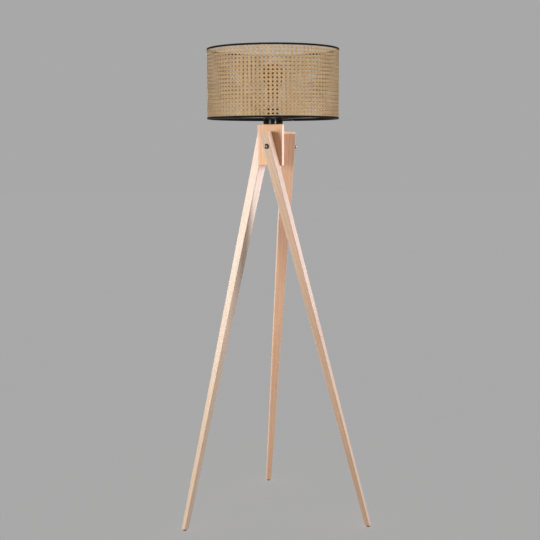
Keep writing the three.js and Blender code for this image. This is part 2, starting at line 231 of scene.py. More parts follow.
def tube(points, radius, sides=8, closed=False, round_ends=True):
    """A round wire along points in metres."""
    pts = [Vector(p) for p in points]
    n = len(pts)
    tang = []
    for i in range(n):
        if closed:
            t = pts[(i + 1) % n] - pts[i - 1]
        else:
            t = pts[min(i + 1, n - 1)] - pts[max(i - 1, 0)]
        tang.append(t.normalized())
    ref = Vector((0, 0, 1)) if abs(tang[0].z) < 0.9 else Vector((1, 0, 0))
    nor = (ref - tang[0] * ref.dot(tang[0])).normalized()
    stations = []
    for i in range(n):
        nor = (nor - tang[i] * nor.dot(tang[i])).normalized()
        stations.append((pts[i], nor.copy(), tang[i].cross(nor), radius, tang[i]))
    if not closed and round_ends:
        p, a, b, r, t = stations[0]
        head = [(p - t * r * math.sin(x), a, b, r * math.cos(x), t) for x in (1.25, 0.7)]
        q, c, d, r2, t2 = stations[-1]
        tail = [(q + t2 * r2 * math.sin(x), c, d, r2 * math.cos(x), t2) for x in (0.7, 1.25)]
        stations = head + stations + tail
    verts, faces = [], []
    for p, a, b, r, t in stations:
        for k in range(sides):
            x = 2 * math.pi * k / sides
            verts.append(p + a * (r * math.cos(x)) + b * (r * math.sin(x)))
    m = len(stations)
    for i in range(m if closed else m - 1):
        j = (i + 1) % m
        for k in range(sides):
            q = (k + 1) % sides
            faces.append([i * sides + k, i * sides + q, j * sides + q, j * sides + k])
    if not closed:
        faces.append(list(range(sides))[::-1])
        faces.append([(m - 1) * sides + k for k in range(sides)])
    return verts, faces


def smooth_line(points, steps=8, closed=False):
    """Catmull-Rom points through the given ones."""
    pts = [Vector(p) for p in points]
    n = len(pts)
    out = []
    for i in range(n if closed else n - 1):
        if closed:
            p0, p1, p2, p3 = pts[i - 1], pts[i], pts[(i + 1) % n], pts[(i + 2) % n]
        else:
            p0, p1, p2, p3 = pts[max(i - 1, 0)], pts[i], pts[i + 1], pts[min(i + 2, n - 1)]
        for k in range(steps):
            t = k / steps
            out.append(
                0.5
                * (
                    2 * p1
                    + (p2 - p0) * t
                    + (2 * p0 - 5 * p1 + 4 * p2 - p3) * t * t
                    + (3 * p1 - p0 - 3 * p2 + p3) * t**3
                )
            )
    if not closed:
        out.append(pts[-1])
    return out


def cut_with(ob, cutters):
    """Cuts closed shapes, given as (verts, faces), out of ob."""
    for part in cutters:
        tool = mesh_object("tool", *part, sharp=0)
        mod = ob.modifiers.new("cut", "BOOLEAN")
        mod.operation = "DIFFERENCE"
        mod.solver = "EXACT"
        mod.object = tool
        deps = bpy.context.evaluated_depsgraph_get()
        me = bpy.data.meshes.new_from_object(ob.evaluated_get(deps), depsgraph=deps)
        ob.modifiers.remove(mod)
        old = ob.data
        ob.data = me
        me.name = ob.name
        bpy.data.meshes.remove(old)
        bpy.data.objects.remove(tool)


def flat_and_soft(ob, area_mm2=60.0):
    """Broad faces stay flat and the narrow eased ones blend into them."""
    me = ob.data
    for p in me.polygons:
        p.use_smooth = p.area < area_mm2 * 1e-6
    me.update()


def place(ob, body, mat, *nodes, slot=None, at=None):
    ob.data.materials.clear()
    ob.data.materials.append(mat)
    if at is not None:
        ob.matrix_world = at
    bpy.context.view_layer.update()
    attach(ob, body)
    if nodes:
        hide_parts(*nodes)
    return ob


ON_AXIS = Matrix.Translation(AXIS)


def settle(ob, body, mat, *nodes, slot=None, at=None, grain=None):
    """Like place(), but the mesh itself is moved to its place, and keeps its own frame as the way of its grain."""
    me = ob.data
    old = np.empty(len(me.vertices) * 3, dtype=np.float32)
    me.vertices.foreach_get("co", old)
    local = old.reshape(-1, 3).astype(float)
    turn = np.array(grain if grain is not None else Matrix.Identity(4))
    local = local @ turn[:3, :3].T + turn[:3, 3]
    att = me.attributes.new("grain", "FLOAT_VECTOR", "POINT")
    att.data.foreach_set("vector", local.astype(np.float32).ravel())
    me.transform(at)
    me.update()
    return place(ob, body, mat, *nodes, slot=slot)


# ------------------------------------------------------------------- materials
class Shade:
    """A material as a short list of nodes."""

    def __init__(self, name):
        self.mat = bpy.data.materials.new(name)
        self.mat.use_nodes = True
        self.tree = self.mat.node_tree
        self.tree.nodes.clear()
        self.out = self.add("ShaderNodeOutputMaterial")
        self.bsdf = self.add("ShaderNodeBsdfPrincipled")
        self.link(self.bsdf, "BSDF", self.out, "Surface")

    def add(self, kind, **values):
        node = self.tree.nodes.new(kind)
        for key, value in values.items():
            setattr(node, key, value)
        return node

    def link(self, a, out, b, into):
        self.tree.links.new(a.outputs[out], b.inputs[into])

    def set(self, **values):
        for key, value in values.items():
            self.bsdf.inputs[key.replace("_", " ")].default_value = value

    def coords(self, scale=(1, 1, 1), offset=(0, 0, 0), source="Object", rotation=(0, 0, 0)):
        tc = self.add("ShaderNodeTexCoord")
        mp = self.add("ShaderNodeMapping")
        mp.inputs["Scale"].default_value = scale
        mp.inputs["Location"].default_value = offset
        mp.inputs["Rotation"].default_value = rotation
        self.link(tc, source, mp, "Vector")
        return mp

    def attribute(self, name, scale=(1, 1, 1), offset=(0, 0, 0)):
        at = self.add("ShaderNodeAttribute", attribute_name=name)
        mp = self.add("ShaderNodeMapping")
        mp.inputs["Scale"].default_value = scale
        mp.inputs["Location"].default_value = offset
        self.link(at, "Vector", mp, "Vector")
        return mp

    def noise(self, vec, scale, detail=3, rough=0.5, distortion=0.0):
        n = self.add("ShaderNodeTexNoise")
        n.inputs["Scale"].default_value = scale
        n.inputs["Detail"].default_value = detail
        n.inputs["Roughness"].default_value = rough
        n.inputs["Distortion"].default_value = distortion
        self.link(vec, "Vector", n, "Vector")
        return n

    def ramp(self, src, out, stops):
        r = self.add("ShaderNodeValToRGB")
        e = r.color_ramp.elements
        while len(e) > 1:
            e.remove(e[-1])
        for i, (pos, col) in enumerate(stops):
            el = e[0] if i == 0 else e.new(pos)
            el.position = pos
            el.color = (*col, 1) if len(col) == 3 else col
        self.link(src, out, r, "Fac")
        return r

    def span(self, src, out, a, b, c, d):
        m = self.add("ShaderNodeMapRange")
        for key, v in (("From Min", a), ("From Max", b), ("To Min", c), ("To Max", d)):
            m.inputs[key].default_value = v
        self.link(src, out, m, "Value")
        return m

    def mix(self, a, aout, b, bout, factor=None, fout=None, blend="MIX", amount=0.5):
        m = self.add("ShaderNodeMix", data_type="RGBA", blend_type=blend)
        if factor is None:
            m.inputs["Factor"].default_value = amount
        else:
            self.link(factor, fout, m, "Factor")
        for node, o, sock in ((a, aout, 6), (b, bout, 7)):
            if isinstance(node, tuple):
                m.inputs[sock].default_value = (*node, 1)
            else:
                self.tree.links.new(node.outputs[o], m.inputs[sock])
        return m

    def mul(self, a, aout, b, bout=None, op="MULTIPLY"):
        m = self.add("ShaderNodeMath", operation=op)
        self.link(a, aout, m, 0)
        if bout is None:
            m.inputs[1].default_value = b
        else:
            self.link(b, bout, m, 1)
        return m

    def bump(self, src, out, strength, distance, normal=None):
        b = self.add("ShaderNodeBump")
        b.inputs["Strength"].default_value = strength
        b.inputs["Distance"].default_value = distance
        self.link(src, out, b, "Height")
        if normal is not None:
            self.link(normal, "Normal", b, "Normal")
        return b


def wood(name, offset, light, dark, fleck=(0.40, 0.22, 0.12), rough=(0.27, 0.37)):
    """Pale beech with its grain along the third axis of the grain attribute."""
    s = Shade(name)

    def grain(scale, shift=0.0):
        return s.attribute("grain", scale, tuple(o + shift for o in offset))

    wobble = s.noise(grain((1, 1, 0.12)), 9, 2, 0.5)
    base = grain((1, 1, 0.05), 0.31)
    push = s.add("ShaderNodeVectorMath", operation="MULTIPLY_ADD")
    s.link(wobble, "Color", push, 0)
    push.inputs[1].default_value = (0.02, 0.02, 0.0)
    s.link(base, "Vector", push, 2)
    rings = s.add("ShaderNodeTexWave", wave_type="RINGS", rings_direction="Z", wave_profile="SIN")
    rings.inputs["Scale"].default_value = 52
    rings.inputs["Distortion"].default_value = 3.5
    rings.inputs["Detail"].default_value = 3
    rings.inputs["Detail Scale"].default_value = 9
    s.link(push, "Vector", rings, "Vector")
    streak = s.noise(grain((1, 1, 0.012)), 260, 4, 0.6)
    fibre = s.noise(grain((1, 1, 0.02)), 1500, 2, 0.6)
    cloud = s.noise(grain((1, 1, 0.25)), 14, 2, 0.5)
    mixed = s.mul(rings, "Fac", 0.42)
    add = s.add("ShaderNodeMath", operation="MULTIPLY_ADD")
    s.link(streak, "Fac", add, 0)
    add.inputs[1].default_value = 0.8
    s.link(mixed, "Value", add, 2)
    tone = s.ramp(add, "Value", [(0.34, light), (0.62, tuple((a + b) / 2 for a, b in zip(light, dark))), (0.9, dark)])
    shift = s.ramp(cloud, "Fac", [(0.3, (0.94, 0.93, 0.92)), (0.7, (1.04, 1.03, 1.02))])
    body = s.mix(tone, "Color", shift, "Color", blend="MULTIPLY", amount=1.0)
    fine = s.ramp(fibre, "Fac", [(0.35, (0.93, 0.92, 0.91)), (0.6, (1.03, 1.03, 1.03))])
    body = s.mix(body, 2, fine, "Color", blend="MULTIPLY", amount=1.0)
    spots = s.noise(grain((1, 1, 0.11)), 760, 1, 0.4)
    mask = s.span(spots, "Fac", 0.66, 0.72, 0.0, 0.36)
    body = s.mix(body, 2, fleck, None, factor=mask, fout="Result")
    s.link(body, 2, s.bsdf, "Base Color")
    r = s.span(streak, "Fac", 0.3, 0.7, rough[0], rough[1])
    s.link(r, "Result", s.bsdf, "Roughness")
    b = s.bump(fibre, "Fac", 0.25, 0.0002)
    b = s.bump(spots, "Fac", 0.2, 0.0002, b)
    s.link(b, "Normal", s.bsdf, "Normal")
    s.set(Specular_IOR_Level=0.5)
    return s.mat


def cane_material(name, light, mid, dark):
    """Split cane: glossy peel with long fibres, each strand of its own tone."""
    s = Shade(name)
    streak = s.noise(s.attribute("cane", (26, 2.2, 1)), 1.0, 4, 0.6)
    fine = s.noise(s.attribute("cane", (110, 9.0, 1), (3, 5, 7)), 1.0, 3, 0.55)
    tone = s.add("ShaderNodeAttribute", attribute_name="tone")
    add = s.add("ShaderNodeMath", operation="MULTIPLY_ADD")
    s.link(streak, "Fac", add, 0)
    add.inputs[1].default_value = 0.9
    half = s.mul(tone, "Fac", 0.42)
    s.link(half, "Value", add, 2)
    col = s.ramp(add, "Value", [(0.3, light), (0.62, mid), (1.05, dark)])
    grain = s.ramp(fine, "Fac", [(0.3, (0.86, 0.84, 0.8)), (0.62, (1.05, 1.05, 1.05))])
    col = s.mix(col, "Color", grain, "Color", blend="MULTIPLY", amount=1.0)
    nodes = s.noise(s.attribute("cane", (7, 0.05, 1), (11, 2, 3)), 1.0, 1, 0.3)
    mark = s.span(nodes, "Fac", 0.7, 0.75, 0.0, 0.5)
    col = s.mix(col, 2, (dark[0] * 0.6, dark[1] * 0.55, dark[2] * 0.5), None, factor=mark, fout="Result")
    at = s.add("ShaderNodeAttribute", attribute_name="cane")
    xyz = s.add("ShaderNodeSeparateXYZ")
    s.link(at, "Vector", xyz, "Vector")
    back = s.span(xyz, "Y", 0.79, 0.83, 0.0, 1.0)
    pith = s.mix(col, 2, (0.98, 1.01, 1.08), None, blend="MULTIPLY", amount=1.0)
    col = s.mix(col, 2, pith, 2, factor=back, fout="Result")
    s.link(col, 2, s.bsdf, "Base Color")
    r = s.span(streak, "Fac", 0.3, 0.7, 0.42, 0.6)
    s.link(r, "Result", s.bsdf, "Roughness")
    b = s.bump(fine, "Fac", 0.35, 0.0001)
    s.link(b, "Normal", s.bsdf, "Normal")
    s.set(Specular_IOR_Level=0.2)
    return s.mat


def tape_material():
    """Black grosgrain tape: fine ribs across its length, slightly dusty."""
    s = Shade("black_tape")
    at = s.add("ShaderNodeAttribute", attribute_name="tape")
    wave = s.add("ShaderNodeTexWave", wave_type="BANDS", bands_direction="X", wave_profile="SIN")
    wave.inputs["Scale"].default_value = 320
    wave.inputs["Distortion"].default_value = 0.6
    wave.inputs["Detail"].default_value = 1
    s.link(at, "Vector", wave, "Vector")
    lint = s.noise(s.coords((1, 1, 1)), 420, 4, 0.65)
    soft = s.noise(s.coords((1, 1, 1), (2, 3, 4)), 30, 2, 0.5)
    col = s.ramp(lint, "Fac", [(0.35, (0.0035, 0.0031, 0.0029)), (0.6, (0.007, 0.006, 0.0054)), (0.8, (0.016, 0.014, 0.0125))])
    rib = s.ramp(wave, "Fac", [(0.0, (0.62, 0.62, 0.62)), (0.8, (1.12, 1.12, 1.12))])
    col = s.mix(col, "Color", rib, "Color", blend="MULTIPLY", amount=1.0)
    s.link(col, 2, s.bsdf, "Base Color")
    r = s.span(soft, "Fac", 0.3, 0.7, 0.72, 0.9)
    s.link(r, "Result", s.bsdf, "Roughness")
    b = s.bump(wave, "Fac", 0.6, 0.00018)
    b = s.bump(lint, "Fac", 0.4, 0.0001, b)
    s.link(b, "Normal", s.bsdf, "Normal")
    s.set(Specular_IOR_Level=0.1, Sheen_Weight=0.03, Sheen_Roughness=0.5)
    return s.mat


def plastic(name, colour, rough, coat=0.0, spec=0.5):
    s = Shade(name)
    fine = s.noise(s.coords(), 900, 3, 0.6)
    broad = s.noise(s.coords((1, 1, 1), (1, 2, 3)), 45, 3, 0.55)
    col = s.ramp(broad, "Fac", [(0.3, colour), (0.75, tuple(c * 1.5 + 0.0015 for c in colour))])
    s.link(col, "Color", s.bsdf, "Base Color")
    r = s.span(broad, "Fac", 0.3, 0.7, rough * 0.8, rough * 1.3)
    s.link(r, "Result", s.bsdf, "Roughness")
    b = s.bump(fine, "Fac", 0.12, 0.00006)
    s.link(b, "Normal", s.bsdf, "Normal")
    s.set(Specular_IOR_Level=spec, Coat_Weight=coat, Coat_Roughness=0.06)
    return s.mat


def metal(name, light, dark, rough, scratch=(1, 1, 0.05), metallic=1.0):
    s = Shade(name)
    brushed = s.noise(s.coords(scratch), 900, 3, 0.6)
    stain = s.noise(s.coords((1, 1, 1), (4, 1, 2)), 120, 4, 0.6)
    col = s.ramp(stain, "Fac", [(0.32, dark), (0.68, light)])
    s.link(col, "Color", s.bsdf, "Base Color")
    r = s.span(brushed, "Fac", 0.3, 0.7, rough * 0.75, rough * 1.3)
    s.link(r, "Result", s.bsdf, "Roughness")
    b = s.bump(brushed, "Fac", 0.15, 0.00005)
    s.link(b, "Normal", s.bsdf, "Normal")
    s.set(Metallic=metallic)
    return s.mat


def glass(name, thin, thick, rough=0.02, ior=1.45, fade=None):
    """Clear or tinted glass, with the faint streaks of blown glass. fade: heights between which the tint sets in."""
    s = Shade(name)
    flow = s.noise(s.coords((1, 1, 0.35)), 22, 2, 0.4)
    col, out = s.ramp(flow, "Fac", [(0.3, thin), (0.7, thick)]), "Color"
    if fade:
        tc = s.add("ShaderNodeTexCoord")
        xyz = s.add("ShaderNodeSeparateXYZ")
        s.link(tc, "Object", xyz, "Vector")
        up = s.span(xyz, "Z", fade[0] * MM, fade[1] * MM, 0.0, 1.0)
        col, out = s.mix((0.95, 0.93, 0.88), None, col, "Color", factor=up, fout="Result"), 2
    s.link(col, out, s.bsdf, "Base Color")
    r = s.span(flow, "Fac", 0.3, 0.7, rough * 0.6, rough * 1.4)
    s.link(r, "Result", s.bsdf, "Roughness")
    s.set(Transmission_Weight=1.0, IOR=ior)
    return s.mat


# Lit and shaded copies of one beech: each part's light and dark colours are set to the light that falls on it, as
# painted light and shade. The hub's deeper orange is painted shade for its shadowed face.
BEECH_LIT_PER_PART = {
    "hub": wood("beech_hub", (0.063, 0.041, 0.2), (0.835, 0.495, 0.28), (0.745, 0.405, 0.215)),
    "right": wood("beech_right", (0.071, -0.052, 0.9), (0.755, 0.525, 0.374), (0.68, 0.449, 0.308)),
    "rear": wood("beech_rear", (-0.055, 0.047, 1.7), (0.885, 0.56, 0.375), (0.79, 0.475, 0.3)),
    "left": wood("beech_left", (0.045, 0.068, 2.6), (0.74, 0.562, 0.412), (0.667, 0.484, 0.342)),
}
CANE = cane_material("split_cane", (0.518, 0.37, 0.21), (0.428, 0.289, 0.153), (0.312, 0.195, 0.092))
TAPE = tape_material()
GLOSS_BLACK = plastic("gloss_black", (0.004, 0.0038, 0.0036), 0.2, spec=0.35)
SATIN_BLACK = plastic("satin_black", (0.005, 0.005, 0.005), 0.36, spec=0.3)
WIRE_BLACK = plastic("coated_wire", (0.004, 0.004, 0.004), 0.42, spec=0.25)
BRONZE = metal("dark_bronze", (0.13, 0.095, 0.07), (0.04, 0.028, 0.02), 0.34)
NICKEL = metal("nickel_head", (0.46, 0.36, 0.28), (0.21, 0.15, 0.105), 0.24)
ZINC = metal("zinc_plate", (0.6, 0.61, 0.62), (0.36, 0.37, 0.38), 0.34)
BRASS = metal("bright_brass", (0.78, 0.52, 0.17), (0.55, 0.33, 0.09), 0.26)
CERAMIC = plastic("steatite", (0.62, 0.59, 0.52), 0.4)
GLIDE = plastic("brown_glide", (0.05, 0.034, 0.024), 0.5)
AMBER = glass("amber_glass", (0.82, 0.67, 0.45), (0.72, 0.55, 0.34), fade=(1338, 1362))
CLEAR = glass("clear_glass", (0.97, 0.98, 0.97), (0.9, 0.93, 0.92))
FILAMENT = metal("filament", (0.95, 0.55, 0.16), (0.8, 0.36, 0.08), 0.35, metallic=0.6)

# ------------------------------------------------------------------- the wood
ROT = {"right": HUB_TURN, "rear": HUB_TURN + 120, "left": HUB_TURN + 240}


def turned_frame(deg):
    return ON_AXIS @ Matrix.Rotation(math.radians(deg), 4, "Z")


# hub: X is the front face's normal in its own frame
side = 2 * math.sqrt(3) * HUB_APOTHEM
corners = []
for k in range(3):
    a = math.radians(120 * k)
    n, t = Vector((math.cos(a), math.sin(a))), Vector((-math.sin(a), math.cos(a)))
    for s in (-1, 1):
        corners.append(tuple(n * HUB_APOTHEM + t * s * (side / 2 - HUB_CORNER_FLAT)))
hub = mesh_object("hub", *prism(fillet(corners, 1.1, 3), HUB_TOP - HUB_H, HUB_TOP, 1.0, 3), sharp=0)
bottom = HUB_TOP - HUB_H


def rod_part(r, z0, z1, segs=48):
    return lathe([(0, z0), (r, z0), (r, z1), (0, z1)], segs, closed=False)


pocket = moved(
    rod_part(6.3, HUB_APOTHEM - 15.9, HUB_APOTHEM + 6, 40),
    Matrix.Translation(Vector((0, PIVOT_R, PIVOT_Z)) * MM) @ Matrix.Rotation(math.pi / 2, 4, "Y"),
)
cut_with(
    hub,
    [rod_part(5.3, bottom - 5, HUB_TOP + 5), rod_part(13.5, bottom - 5, bottom + 12, 64)]
    + [moved(pocket, Matrix.Rotation(math.radians(a), 4, "Z")) for a in (0, 120, 240)],
)
flat_and_soft(hub)
settle(hub, "stand", BEECH_LIT_PER_PART["hub"], "hub_block", slot="beech", at=turned_frame(HUB_TURN))

# legs: own Z runs up the leg's centre line, X is the outward normal
A_DOWN = Vector((0, math.sin(LEG_TILT), -math.cos(LEG_TILT)))
ACROSS = Vector((0, math.cos(LEG_TILT), math.sin(LEG_TILT)))
PIVOT = Vector((LEG_IN, PIVOT_R, PIVOT_Z))
FOOT_Z = 3.3


def section(half_w, depth, ease, steps=3):
    """Corner-rounded section as (across, outward) pairs, in millimetres."""
    pts = [(-half_w, 0), (half_w, 0), (half_w, depth), (-half_w, depth)]
    return fillet(pts, ease, steps)


def leg_part():
    rings = []

    def level(height, inset=0.0, cut=None):
        """A ring square to the leg at a centre-line height, or level with the floor at cut."""
        s = (PIVOT_Z - height) / math.cos(LEG_TILT)
        hw, d = leg_width(height) / 2 - inset, leg_depth(height) - 2 * inset
        ring = []
        for q, m in section(hw, d, 1.5 if inset < 1 else 1.2):
            along = s
            if cut is not None:
                along = (PIVOT_Z - cut + q * math.sin(LEG_TILT)) / math.cos(LEG_TILT)
            v = PIVOT + A_DOWN * along + ACROSS * q + Vector((m + inset, 0, 0))
            ring.append(v * MM)
        rings.append(ring)

    top = PIVOT_Z + LEG_ABOVE * math.cos(LEG_TILT)
    c = math.cos(LEG_TILT)
    level(top, 1.2)
    level(top - 0.15 * c, 0.6)
    level(top - 0.6 * c, 0.15)
    level(top - 1.2 * c, 0.0)
    for k in range(1, 16):
        level(top - 1.2 * c + (22 - top) * k / 16)
    level(FOOT_Z + 3.4, 0.0, cut=FOOT_Z + 3.4)
    level(FOOT_Z + 1.4, 0.9, cut=FOOT_Z + 1.4)
    level(FOOT_Z + 0.3, 2.2, cut=FOOT_Z + 0.3)
    level(FOOT_Z, 2.9, cut=FOOT_Z)
    n = len(rings[0])
    verts = [v for r in rings for v in r]
    faces = []
    for j in range(len(rings) - 1):
        for i in range(n):
            m = (i + 1) % n
            faces.append([j * n + i, j * n + m, (j + 1) * n + m, (j + 1) * n + i])
    faces.append(list(range(n)))
    last = (len(rings) - 1) * n
    faces.append([last + i for i in range(n)][::-1])
    return verts, faces


def leg_frame(deg):
    """The leg's own frame: origin at the pivot on the leg's inner face."""
    m = Matrix.Identity(4)
    for row in range(3):
        m[row][0] = (1, 0, 0)[row]
        m[row][1] = ACROSS[row]
        m[row][2] = -A_DOWN[row]
        m[row][3] = PIVOT[row] * MM
    return m


hole = moved(
    rod_part(4.3, LEG_IN - 8, LEG_OUT + 8, 40),
    Matrix.Translation(Vector((0, PIVOT_R, PIVOT_Z)) * MM) @ Matrix.Rotation(math.pi / 2, 4, "Y"),
)
FOOT_X = LEG_IN + LEG_T_FOOT / 2
FOOT_Y = LEG_R0 + HUB_TOP * math.tan(LEG_TILT)
pin_hole = moved(rod_part(1.4, -5, 15.2, 16), Matrix.Translation(Vector((FOOT_X, FOOT_Y, 0)) * MM))
for which, deg in ROT.items():
    m = leg_frame(deg)
    inv = m.inverted()
    leg = mesh_object(f"{which}_leg_wood", *leg_part(), sharp=0)
    cut_with(leg, [hole, pin_hole])
    flat_and_soft(leg, 30)
    settle(leg, f"{which}_leg", BEECH_LIT_PER_PART[which], f"leg_{which}", slot="beech", at=turned_frame(deg), grain=inv)

    # bolt, washer and glide
    to_x = Matrix.Translation(Vector((0, PIVOT_R, PIVOT_Z)) * MM) @ Matrix.Rotation(math.pi / 2, 4, "Y")
    seat = LEG_OUT + 0.3 + 1.4 + 0.3
    dome = [(6.6 * math.cos(x), seat + 1.3 + 3.9 * math.sin(x)) for x in [i * math.pi / 2 / 9 for i in range(10)]]
    profile = (
        [(0, 14.4), (3.1, 14.4), (4, 15.4), (4, seat), (6.9, seat), (7.2, seat + 0.4), (7.15, seat + 1.0)]
        + dome[:-1]
    )
    inner_r = 2.9
    dome_in = [p for p in dome if p[0] > inner_r + 0.2]
    profile = profile[:7] + dome_in + [(inner_r + 0.15, seat + 4.86), (inner_r - 0.1, seat + 4.6), (inner_r - 0.1, seat + 2.2), (0, seat + 1.6)]
    bolt = mesh_object(f"{which}_leg_bolt", *lathe(profile, 48, closed=False), sharp=40)
    place(bolt, "stand", NICKEL, f"leg_bolt_{which}", slot="bronzed_steel", at=turned_frame(deg) @ to_x)
    w0, w1 = LEG_OUT + 0.5, LEG_OUT + 1.7
    ring = fillet([(4.3, w0), (8.4, w0), (8.4, w1), (4.3, w1)], 0.4, 2)
    washer = mesh_object(f"{which}_bolt_washer", *lathe(ring, 48), sharp=50)
    place(washer, "stand", BRONZE, f"bolt_washer_{which}", slot="bronzed_steel", at=turned_frame(deg) @ to_x)
    glide_profile = [(0, 0), (4.3, 0), (4.9, 0.2), (5.2, 0.8), (5.2, 2.5), (5.0, 3.0), (1.1, 3.0), (1.1, 12), (0, 14)]
    glide = mesh_object(f"{which}_foot_glide", *lathe(glide_profile, 40, closed=False), sharp=40)
    place(
        glide, f"{which}_leg", GLIDE, f"foot_glide_{which}", slot="glide",
        at=turned_frame(deg) @ Matrix.Translation(Vector((FOOT_X, FOOT_Y, 0)) * MM),
    )

# ---------------------------------------------------------- cup and lampholder
CUP_TOP, HOLDER_TOP = 1288.7, 1326.5
foot = HUB_TOP + 0.3
cup_line = [
    (28.4, foot), (29.9, foot + 0.5), (30.8, foot + 2.2), (30.8, CUP_TOP), (20.5, CUP_TOP), (20.5, CUP_TOP - 1.8),
    (28.8, CUP_TOP - 1.8), (28.0, foot),
]
cup = mesh_object("cover_cup_shell", *lathe(fillet(cup_line, [0.2, 1.2, 1.4, 1.2, 0.4, 0.3, 0.6, 0.1], 4), 128), sharp=45)
place(cup, "stand", GLOSS_BLACK, "cover_cup", slot="black_plastic", at=ON_AXIS)

thread = []
z = 1284.9
while z < HOLDER_TOP - 3.2:
    thread += [(19.45, z), (19.95, z + 0.6), (19.95, z + 1.1), (19.45, z + 1.7)]
    z += 2.2
skirt_line = (
    [(16.5, 1284.3), (19.2, 1284.3)] + thread
    + [(20.0, HOLDER_TOP - 2.4), (20.0, HOLDER_TOP - 1.0), (19.2, HOLDER_TOP - 0.2), (18.4, HOLDER_TOP), (15.6, HOLDER_TOP),
       (14.95, HOLDER_TOP - 0.7), (14.95, HOLDER_TOP - 2.6), (16.5, HOLDER_TOP - 3.6)]
)
skirt = mesh_object("lampholder_skirt_shell", *lathe(skirt_line, 96), sharp=50)
place(skirt, "stand", SATIN_BLACK, "lampholder_skirt", slot="black_plastic", at=ON_AXIS)

N0, N1 = 1290.9, 1300.4
outline = []
for k in range(120):
    a = 2 * math.pi * k / 120
    outline.append(((27.2 - 0.75 * (0.5 - 0.5 * math.cos(24 * a)) ** 2) * math.cos(a), (27.2 - 0.75 * (0.5 - 0.5 * math.cos(24 * a)) ** 2) * math.sin(a)))
nut = mesh_object("shade_ring", *prism(outline, N0, N1, 0.9, 3), sharp=0)
cut_with(nut, [rod_part(20.3, N0 - 4, N1 + 4, 96)])
nut.data.shade_smooth()
nut.data.set_sharp_from_angle(angle=math.radians(30))
place(nut, "ring_nut", SATIN_BLACK, "shade_ring_nut", slot="black_plastic", at=ON_AXIS)

shell = []
z = 1298.2
while z < 1320:
    shell += [(14.0, z), (14.45, z + 0.9), (14.45, z + 1.5), (14.0, z + 2.4)]
    z += 3.6
shell_line = shell + [(14.5, 1322.4), (13.8, 1322.4)] + [(r - 0.55, q) for r, q in reversed(shell)]
screw_shell = mesh_object("holder_screw_shell", *lathe([(min(r, 14.5), min(max(q, 1297.9), 1322.4)) for r, q in shell_line], 64), sharp=50)
place(screw_shell, "stand", BRASS, "screw_shell", slot="brass", at=ON_AXIS)

# under the hub
shelf = bottom + 12
bush_line = [(3.1, bottom + 0.4), (6.2, bottom + 0.4), (7, bottom + 1.2), (7, 1144.3), (3.7, 1144.3), (3.7, 1152.6), (3.1, 1152.6)]
bush = mesh_object("cord_bush_ring", *lathe(fillet(bush_line, [0.4, 0.5, 0.4, 0.1, 0.1, 0.1, 0.1], 2), 48), sharp=45)
place(bush, "stand", SATIN_BLACK, "cord_bush", slot="black_plastic", at=ON_AXIS)
tw = mesh_object("tube_washer_disc", *lathe(fillet([(5.3, shelf - 1.8), (11.5, shelf - 1.8), (11.5, shelf - 0.3), (5.3, shelf - 0.3)], 0.4, 2), 56), sharp=50)
place(tw, "stand", ZINC, "tube_washer", slot="zinc_steel", at=ON_AXIS)
hexa = [(16 / math.sqrt(3) * math.cos(math.pi * k / 3), 16 / math.sqrt(3) * math.sin(math.pi * k / 3)) for k in range(6)]
nut2 = mesh_object("tube_hex_nut", *prism(fillet(hexa, 0.6, 2), shelf - 7.4, shelf - 2.1, 0.6, 2), sharp=0)
cut_with(nut2, [rod_part(5.3, shelf - 12, shelf + 3, 40)])
nut2.data.shade_smooth()
nut2.data.set_sharp_from_angle(angle=math.radians(28))
place(nut2, "stand", ZINC, "tube_nut", slot="zinc_steel", at=ON_AXIS)

# ------------------------------------------------------------------------ bulb
BULB_TOP = 1467.0
line = smooth_line(
    [Vector((r, z, 0)) for r, z in [
        (12, 1322), (12, 1328), (13.6, 1334), (16.6, 1348), (20.8, 1367), (25.4, 1390), (29.4, 1411), (31.6, 1427),
        (32, 1437), (30.8, 1447), (27.2, 1456), (20.6, 1462.6), (11, 1466.2), (0, BULB_TOP)]],
    5,
)
outer = [(max(p.x, 0.0), p.y) for p in line]
outer[-1] = (0.0, BULB_TOP)
inner = []
for k, (r, z) in enumerate(outer):
    a, b = outer[max(k - 1, 0)], outer[min(k + 1, len(outer) - 1)]
    d = math.hypot(b[0] - a[0], b[1] - a[1])
    inner.append((max(r - (b[1] - a[1]) / d * 0.8, 0.4), z + (b[0] - a[0]) / d * 0.8))
inner[-1] = (0.0, BULB_TOP - 0.8)
glass_profile = [(0.0, BULB_TOP)] + outer[:-1][::-1] + inner
envelope = mesh_object("bulb_envelope", *lathe(glass_profile, 96, closed=False), sharp=60)
place(envelope, "bulb", AMBER, "bulb_glass", slot="amber_glass", at=ON_AXIS)

cap_thread = []
z = 1305.0
while z < 1322:
    cap_thread += [(12.75, z), (13.25, z + 0.9), (13.25, z + 1.6), (12.75, z + 2.5)]
    z += 3.6
cap_line = (
    [(8.0, 1302.8), (8.0, 1301.6), (9.2, 1301.6), (12.4, 1303.4)] + cap_thread
    + [(13.2, 1325.2), (13.2, 1326.8), (12.9, 1327.4), (12.35, 1327.4), (12.35, 1305.2)]
)
cap = mesh_object("bulb_screw_cap", *lathe(cap_line, 64), sharp=50)
place(cap, "bulb", BRASS, "bulb_cap", slot="brass", at=ON_AXIS)

